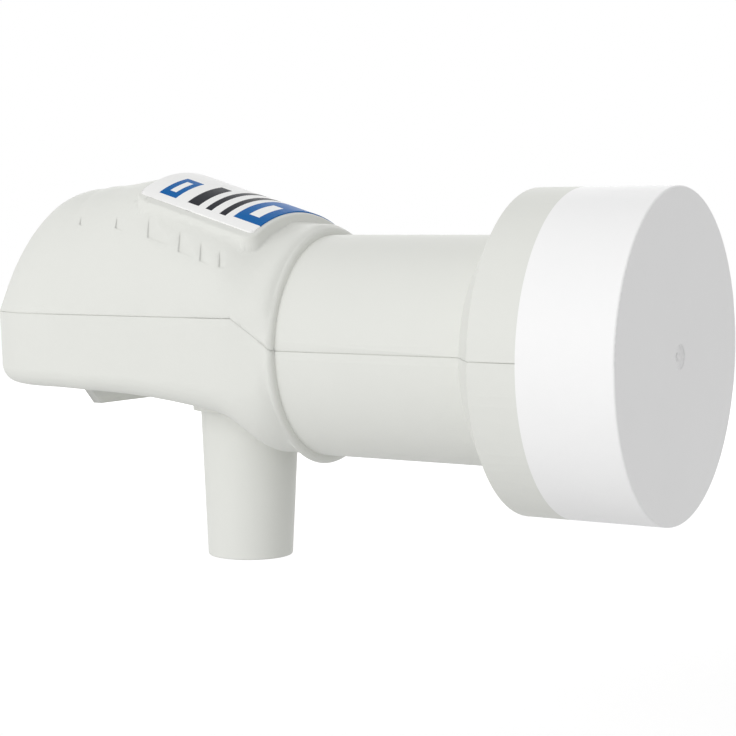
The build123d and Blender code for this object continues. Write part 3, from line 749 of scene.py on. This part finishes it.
def thread_groove(socket, axis, tip, thread_top):
    """A wedge wound up the thread from under the tip into the relief, to be cut out of the barrel."""
    root = socket.thread - socket.thread_depth
    reach = socket.thread_depth * GROOVE_OVERSHOOT
    half = reach * math.tan(THREAD_FLANK)
    bpy.ops.object.select_all(action="DESELECT")
    bpy.ops.mesh.primitive_circle_add(vertices=3, radius=half, rotation=(math.pi / 2, 0, 0))
    wedge = bpy.context.active_object
    bpy.ops.object.transform_apply()
    for corner, (across, along) in zip(wedge.data.vertices, ((0, 0), (reach, half), (reach, -half))):
        corner.co = (root + across, 0, along)
    winding = wedge.modifiers.new("winding", "SCREW")
    winding.axis = "Z"
    winding.screw_offset = socket.pitch
    winding.iterations = math.ceil((thread_top - tip) / socket.pitch) + 1
    winding.steps = TURNED_SIDES
    winding.render_steps = TURNED_SIDES
    bpy.ops.object.modifier_apply(modifier=winding.name)
    bpy.ops.object.mode_set(mode="EDIT")
    bpy.ops.mesh.select_all(action="SELECT")
    bpy.ops.mesh.remove_doubles(threshold=MODEL_MERGE)
    bpy.ops.mesh.fill_holes(sides=3)
    bpy.ops.transform.translate(value=(*axis, tip - socket.pitch / 2))
    close_up()
    return wedge


class LNB_OT_inside(bpy.types.Operator):
    """Finish the casting, the board and what stands on it"""

    bl_idname = "lnb.inside"
    bl_label = "Inside"

    def execute(self, context):
        brass = metal("probe_brass", PROBE_BRASS, 0.3)
        bead = matt("probe_bead", WHITE_CORE, 0.4)
        chip = matt("chip_plastic", CHIP_BLACK, 0.55)
        finishes = {
            "cast_housing": metal("cast_alloy", CAST_ALLOY, 0.45, *CAST_SKIN),
            "chamber_cover": metal("cover_alloy", COVER_ALLOY, 0.4, *CAST_SKIN),
            "cover_screws": metal("screw_steel", SCREW_STEEL, 0.3),
            "cap_seal": matt("cap_seal_rubber", RUBBER, 0.6),
            "cover_gasket": matt("gasket_rubber", GASKET_GREY, 0.6),
            "circuit_board": printed_board(),
            "absorber_pad": matt("absorber_rubber", ABSORBER_BLACK, 0.7),
            "front_probe": brass,
            "rear_probe": brass,
            "isolation_pin": brass,
            "front_probe_bead": bead,
            "rear_probe_bead": bead,
            "converter_chip": chip,
            "voltage_regulator": chip,
            "reference_crystal": metal("crystal_can", CRYSTAL_CAN, 0.25),
            "amplifier_transistors": matt("transistor_ceramic", TRANSISTOR_WHITE, 0.4),
            "supply_capacitors": matt("capacitor_ceramic", CAPACITOR_BROWN, 0.4),
        }
        for name, material in finishes.items():
            dress(name, material)
        return {"FINISHED"}


class LNB_OT_studio(bpy.types.Operator):
    """Set up the floor, the light and the camera"""

    bl_idname = "lnb.studio"
    bl_label = "Studio"

    def execute(self, context):
        scene = context.scene
        studio = scene.lnb_studio
        scene.view_settings.view_transform = "Standard"
        white_room(scene, studio.ambient)
        pale_floor(studio)
        low, high = (Vector(corner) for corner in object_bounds())
        middle = (low + high) / 2
        soft_light("key_light", studio.key_place, middle, studio.softbox, studio.key)
        soft_light("back_light", studio.back_place, middle, studio.softbox, studio.back)
        camera = bpy.data.cameras.new("camera")
        camera.lens = studio.lens
        camera.sensor_width = SENSOR_WIDTH
        camera.clip_start = NEAR_CLIP
        eye = bpy.data.objects.new("camera", camera)
        scene.collection.objects.link(eye)
        eye.location = studio.eye
        aim = Vector(studio.target) - Vector(studio.eye)
        eye.rotation_euler = aim.to_track_quat("-Z", "Y").to_euler()
        scene.camera = eye
        return {"FINISHED"}


def seen_rays(tree):
    """One for rays that come from the camera, a gloss or a glass, and nought for the rest."""
    camera, gloss, glass = (
        add_node(tree, "ShaderNodeLightPath", output=f"Is {kind} Ray")
        for kind in ("Camera", "Glossy", "Transmission")
    )
    seen = camera.math("MAXIMUM", camera, gloss)
    return seen.math("MAXIMUM", seen, glass)


def white_room(scene, ambient):
    """An even pale world, white where it is seen."""
    world = bpy.data.worlds.new("white_room")
    world.use_nodes = True
    scene.world = world
    background = world.node_tree.nodes["Background"]
    plug(world.node_tree, background.inputs["Color"], (1, 1, 1))
    strength = ambient + seen_rays(world.node_tree) * (1 - ambient)
    plug(world.node_tree, background.inputs["Strength"], strength)


def pale_floor(studio):
    """A wide floor with a soft shadow: white where it is seen, greyer in the light it throws back.

    It is clear from underneath, so that the object can be looked at from below.
    """
    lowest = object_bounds()[0][2]
    bpy.ops.object.select_all(action="DESELECT")
    bpy.ops.mesh.primitive_plane_add(size=FLOOR_SIZE, location=(0, 0, lowest - studio.floor_drop))
    floor = bpy.context.active_object
    floor.name = "floor"
    finish = Finish("pale_floor", base_color=FLOOR_WHITE, roughness=0.9, emission_strength=1.0)
    x, y = finish.millimetres()
    far = (x * x + y * y) / FLOOR_FADE**2
    far = far.math("MINIMUM", far, 1)
    finish.set(emission_color=finish.blend(far, NEAR_GLOW, FAR_GLOW))
    white = Value(finish.tree, finish.shader.outputs[0])
    grey = finish.node("ShaderNodeBsdfDiffuse", {"Color": [studio.floor_bounce] * 3})
    upper = finish.node("ShaderNodeMixShader", {0: seen_rays(finish.tree), 1: grey, 2: white})
    underneath = finish.node("ShaderNodeNewGeometry", output="Backfacing")
    clear = finish.node("ShaderNodeBsdfTransparent")
    surface = finish.node("ShaderNodeMixShader", {0: underneath, 1: upper, 2: clear})
    plug(finish.tree, finish.tree.nodes["Material Output"].inputs["Surface"], surface)
    floor.data.materials.append(finish.material)
    floor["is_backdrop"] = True


def soft_light(name, offset, target, size, watts):
    """A square softbox at an offset from its target, facing it."""
    lamp = bpy.data.lights.new(name, "AREA")
    lamp.size = size
    lamp.energy = watts
    box = bpy.data.objects.new(name, lamp)
    bpy.context.scene.collection.objects.link(box)
    box.location = target + Vector(offset)
    box.rotation_euler = (-Vector(offset)).to_track_quat("-Z", "Y").to_euler()


STEPS = (
    LNB_OT_shells,
    LNB_OT_cap,
    LNB_OT_sleeve,
    LNB_OT_label,
    LNB_OT_socket,
    LNB_OT_inside,
    LNB_OT_studio,
)

SETTINGS = {
    PlasticSettings: "lnb_plastic",
    PadSettings: "lnb_pad",
    LabelSettings: "lnb_label",
    SocketSettings: "lnb_socket",
    StudioSettings: "lnb_studio",
}


class LNB_PT_panel(bpy.types.Panel):
    """Lists the pieces of the LNB and their settings"""

    bl_idname = "LNB_PT_panel"
    bl_label = "Satellite LNB"
    bl_space_type = "VIEW_3D"
    bl_region_type = "UI"
    bl_category = "LNB"

    def draw(self, context):
        for step in STEPS:
            self.layout.operator(step.bl_idname)
        for settings, group in SETTINGS.items():
            for name in settings.__annotations__:
                self.layout.prop(getattr(context.scene, group), name)


def register():
    for settings, name in SETTINGS.items():
        bpy.utils.register_class(settings)
        setattr(bpy.types.Scene, name, PointerProperty(type=settings))
    for step in (*STEPS, LNB_PT_panel):
        bpy.utils.register_class(step)


def unregister():
    for step in (LNB_PT_panel, *reversed(STEPS)):
        bpy.utils.unregister_class(step)
    for settings, name in SETTINGS.items():
        delattr(bpy.types.Scene, name)
        bpy.utils.unregister_class(settings)


def main():
    register()
    for step in STEPS:
        group, name = step.bl_idname.split(".")
        getattr(getattr(bpy.ops, group), name)()


if __name__ == "__main__":
    main()
